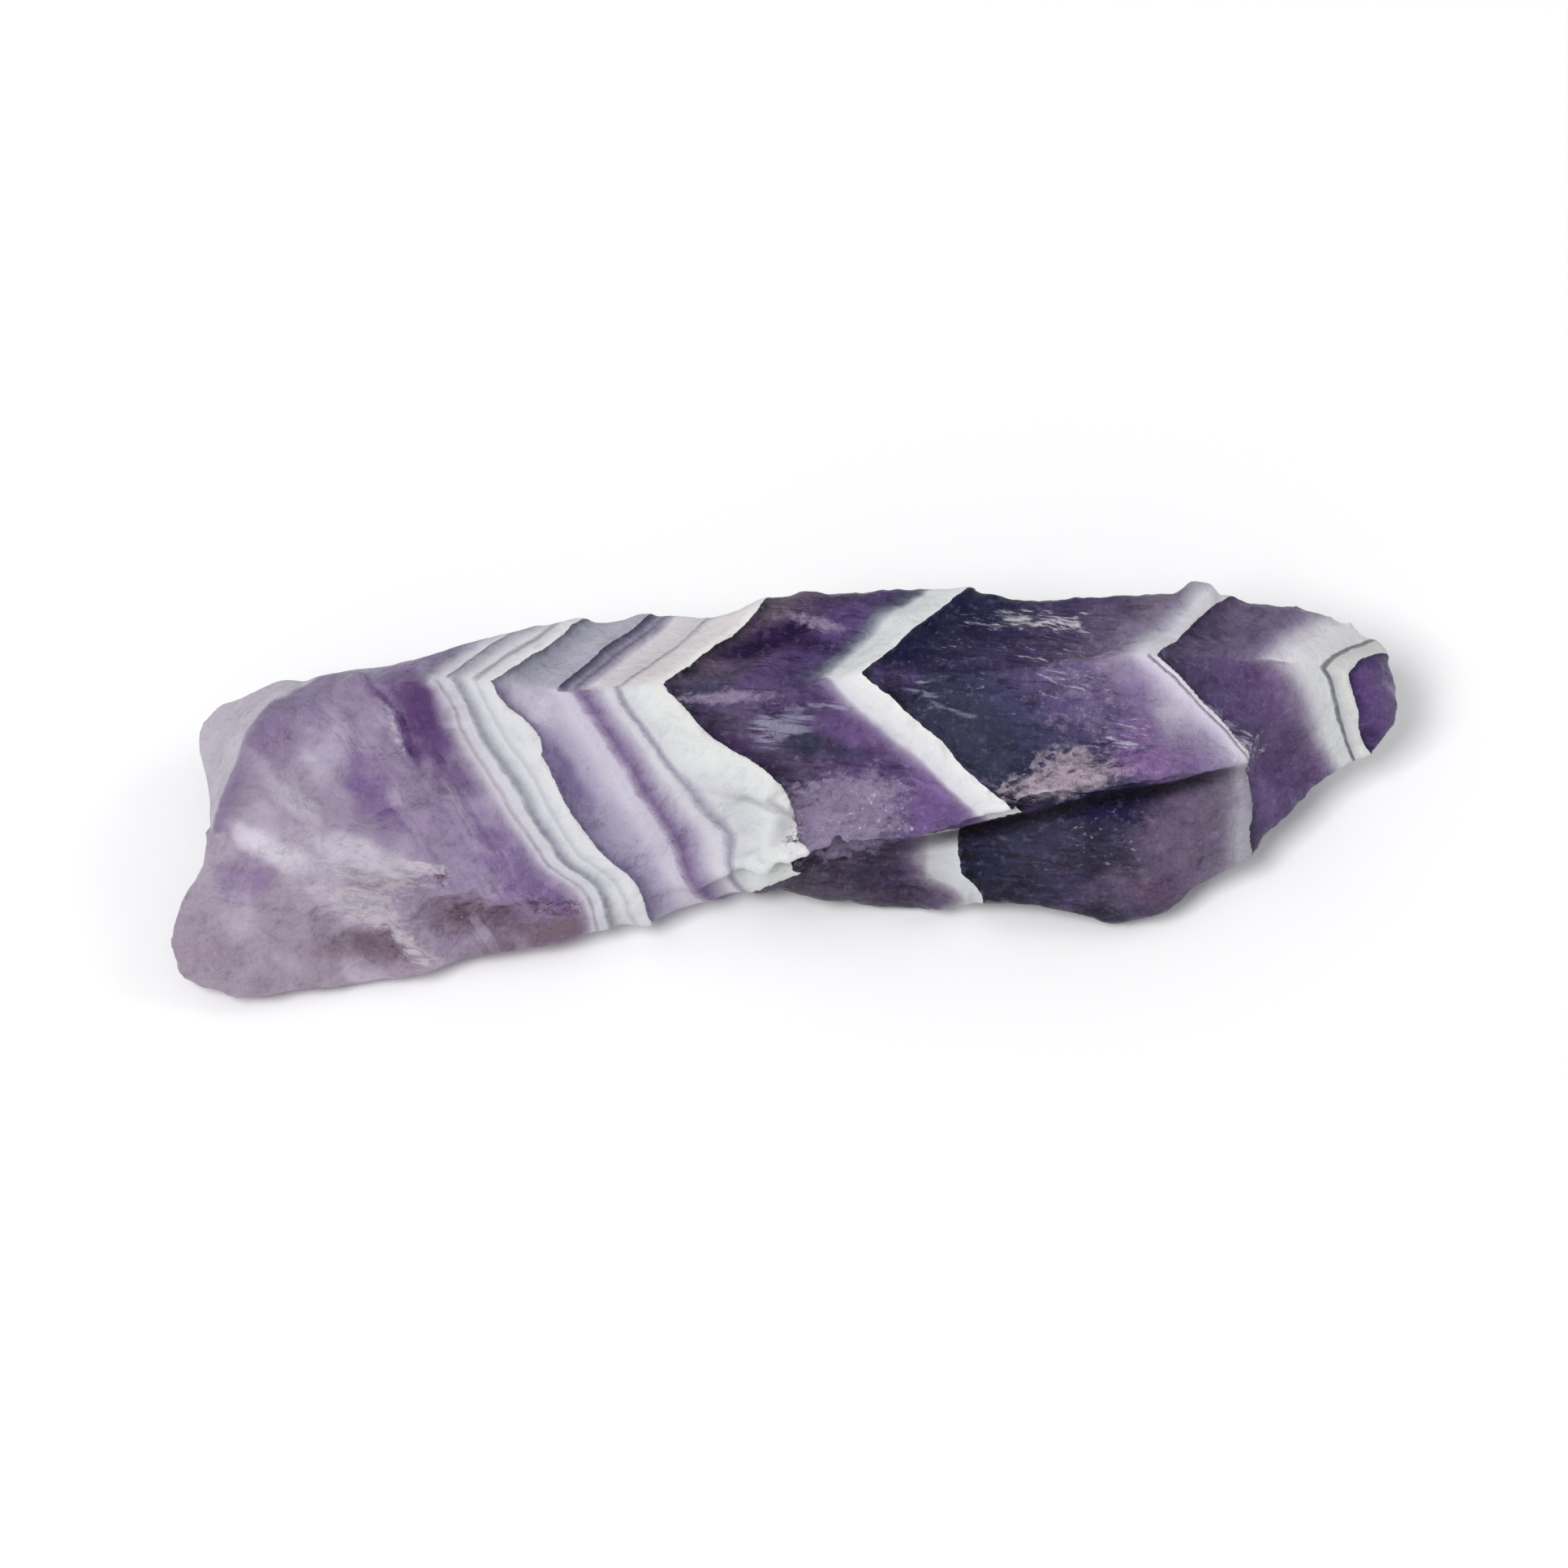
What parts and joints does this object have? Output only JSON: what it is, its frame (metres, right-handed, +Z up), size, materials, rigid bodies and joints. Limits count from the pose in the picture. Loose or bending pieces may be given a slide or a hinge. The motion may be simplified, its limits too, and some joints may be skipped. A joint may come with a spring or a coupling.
{
  "type": "chevron amethyst",
  "caption": "Rough broken column of amethyst, lying on its flattest side, with nested white and purple V-shaped bands.",
  "frame": {"origin": "on the table, under the middle of the stone's box", "axes": "+X along the stone from its milky end to its tip, +Z up from the resting face, -Y towards the side with the ledge"},
  "size_m": [0.06, 0.0198, 0.011],
  "materials": {
    "banded_quartz": "rough broken quartz in purple, lilac and dark indigo, with opaque white V-shaped bands"
  },
  "bodies": {
    "root": {"chevron_amethyst": "banded_quartz"}
  },
  "joints": []
}
